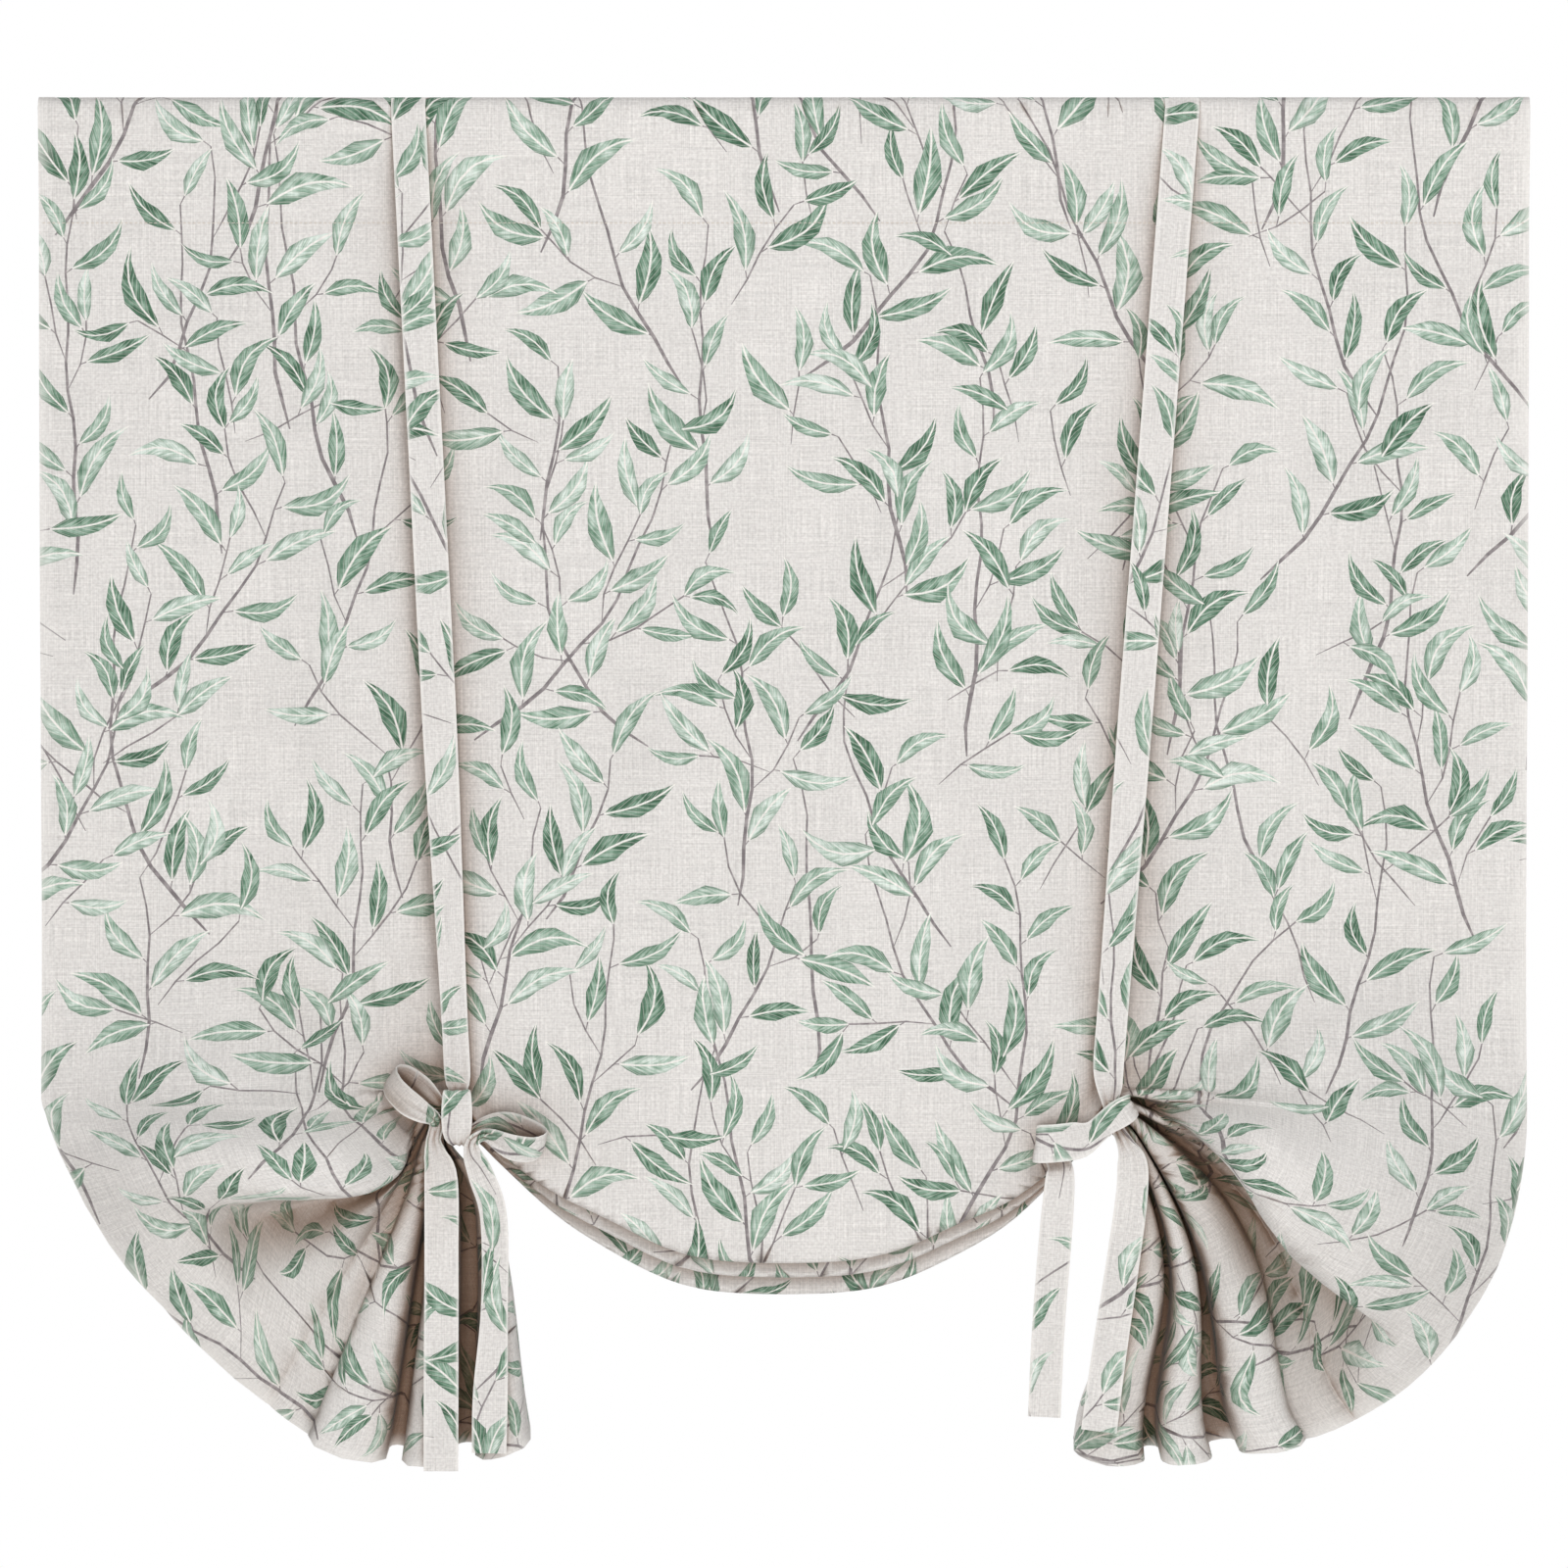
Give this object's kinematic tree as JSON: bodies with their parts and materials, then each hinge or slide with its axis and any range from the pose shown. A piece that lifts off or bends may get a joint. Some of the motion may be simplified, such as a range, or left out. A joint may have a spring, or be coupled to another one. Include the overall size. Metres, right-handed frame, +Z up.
{
  "type": "tie up curtain",
  "caption": "Short window shade of printed linen, hung by a rod pocket, folded up from below into a soft swag with fanned tails, held by front and back cloth ties that end in a bow and a knot.",
  "frame": {"origin": "Centre of the rod pocket, at half its height and half the panel's width, in the plane of the panel.", "axes": "+X runs across the window to the right as seen from the room, -Y faces the room, +Z is up."},
  "size_m": [1.168, 0.1593, 1.0731],
  "materials": {
    "printed_linen": "matte",
    "tie_linen": "matte"
  },
  "bodies": {
    "root": {"panel": "printed_linen", "left_front_tie": "tie_linen", "left_back_tie": "tie_linen", "right_front_tie": "tie_linen", "right_back_tie": "tie_linen"}
  },
  "joints": []
}
